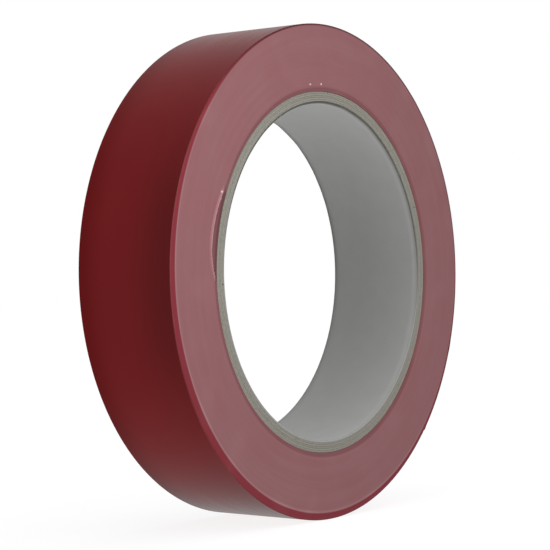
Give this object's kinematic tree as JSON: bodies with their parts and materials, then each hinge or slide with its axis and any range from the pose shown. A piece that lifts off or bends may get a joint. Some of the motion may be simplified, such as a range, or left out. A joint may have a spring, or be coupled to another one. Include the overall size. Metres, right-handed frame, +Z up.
{
  "type": "electrical tape roll",
  "caption": "Roll of glossy dark red PVC electrical tape on a paper core with a wide open bore. Its free end lifts and peels away from the rim in a strip.",
  "frame": {"origin": "centre of the core's bore, midway between the two side faces", "axes": "+Z up with the roll standing on its rim, roll axis along Y, the free end of the tape on the +X side"},
  "size_m": [0.1119, 0.025, 0.1117],
  "materials": {
    "tape_film": "glossy smooth PVC film",
    "tape_edges": "satin, hazed by the slitting knife",
    "core_board": "raw cut board edge",
    "liner_paper": "smooth grey paper"
  },
  "bodies": {
    "roll": {"core_liner": "liner_paper", "core_ply_2": "core_board", "core_ply_3": "core_board", "core_ply_4": "core_board", "core_ply_5": "core_board", "core_wrap": "core_board", "tape_pack": "tape_edges", "tape_outer_turn": "tape_film"},
    "end_link_01": {"tape_end_01": "tape_film"},
    "end_link_02": {"tape_end_02": "tape_film"},
    "end_link_03": {"tape_end_03": "tape_film"},
    "end_link_04": {"tape_end_04": "tape_film"},
    "end_link_05": {"tape_end_05": "tape_film"},
    "end_link_06": {"tape_end_06": "tape_film"},
    "end_link_07": {"tape_end_07": "tape_film"},
    "end_link_08": {"tape_end_08": "tape_film"},
    "end_link_09": {"tape_end_09": "tape_film"},
    "end_link_10": {"tape_end_10": "tape_film"},
    "end_link_11": {"tape_end_11": "tape_film"},
    "end_link_12": {"tape_end_12": "tape_film"}
  },
  "joints": [
    {"name": "peel", "type": "hinge", "parent": "roll", "child": "end_link_01", "pos_m": [0.03826, 0, 0.04085], "axis": [0, -1, 0], "range_deg": [0, 7.5]},
    {"name": "peel_bend_02", "type": "hinge", "parent": "end_link_01", "child": "end_link_02", "pos_m": [0.04326, 0, 0.03551], "axis": [0, -1, 0], "range_deg": [0, 7.5]},
    {"name": "peel_bend_03", "type": "hinge", "parent": "end_link_02", "child": "end_link_03", "pos_m": [0.04753, 0, 0.02956], "axis": [0, -1, 0], "range_deg": [0, 7.5]},
    {"name": "peel_bend_04", "type": "hinge", "parent": "end_link_03", "child": "end_link_04", "pos_m": [0.05098, 0, 0.0231], "axis": [0, -1, 0], "range_deg": [0, 7.5]},
    {"name": "peel_bend_05", "type": "hinge", "parent": "end_link_04", "child": "end_link_05", "pos_m": [0.05357, 0, 0.01625], "axis": [0, -1, 0], "range_deg": [0, 7.5]},
    {"name": "peel_bend_06", "type": "hinge", "parent": "end_link_05", "child": "end_link_06", "pos_m": [0.05523, 0, 0.00912], "axis": [0, -1, 0], "range_deg": [0, 7.5]},
    {"name": "peel_bend_07", "type": "hinge", "parent": "end_link_06", "child": "end_link_07", "pos_m": [0.05595, 0, 0.00183], "axis": [0, -1, 0], "range_deg": [0, 7.5]},
    {"name": "peel_bend_08", "type": "hinge", "parent": "end_link_07", "child": "end_link_08", "pos_m": [0.05572, 0, -0.00549], "axis": [0, -1, 0], "range_deg": [0, 7.5]},
    {"name": "peel_bend_09", "type": "hinge", "parent": "end_link_08", "child": "end_link_09", "pos_m": [0.05453, 0, -0.01271], "axis": [0, -1, 0], "range_deg": [0, 7.5]},
    {"name": "end_lift", "type": "hinge", "parent": "end_link_09", "child": "end_link_10", "pos_m": [0.0524, 0, -0.01972], "axis": [0, -1, 0], "range_deg": [0, 15]},
    {"name": "lift_bend_11", "type": "hinge", "parent": "end_link_10", "child": "end_link_11", "pos_m": [0.04938, 0, -0.0264], "axis": [0, -1, 0], "range_deg": [0, 15]},
    {"name": "lift_bend_12", "type": "hinge", "parent": "end_link_11", "child": "end_link_12", "pos_m": [0.04552, 0, -0.03262], "axis": [0, -1, 0], "range_deg": [0, 15]}
  ],
  "couplings": [
    {"joint": "peel_bend_02", "follows": "peel", "ratio": 1},
    {"joint": "peel_bend_03", "follows": "peel", "ratio": 1},
    {"joint": "peel_bend_04", "follows": "peel", "ratio": 1},
    {"joint": "peel_bend_05", "follows": "peel", "ratio": 1},
    {"joint": "peel_bend_06", "follows": "peel", "ratio": 1},
    {"joint": "peel_bend_07", "follows": "peel", "ratio": 1},
    {"joint": "peel_bend_08", "follows": "peel", "ratio": 1},
    {"joint": "peel_bend_09", "follows": "peel", "ratio": 1},
    {"joint": "lift_bend_11", "follows": "end_lift", "ratio": 1},
    {"joint": "lift_bend_12", "follows": "end_lift", "ratio": 1}
  ]
}
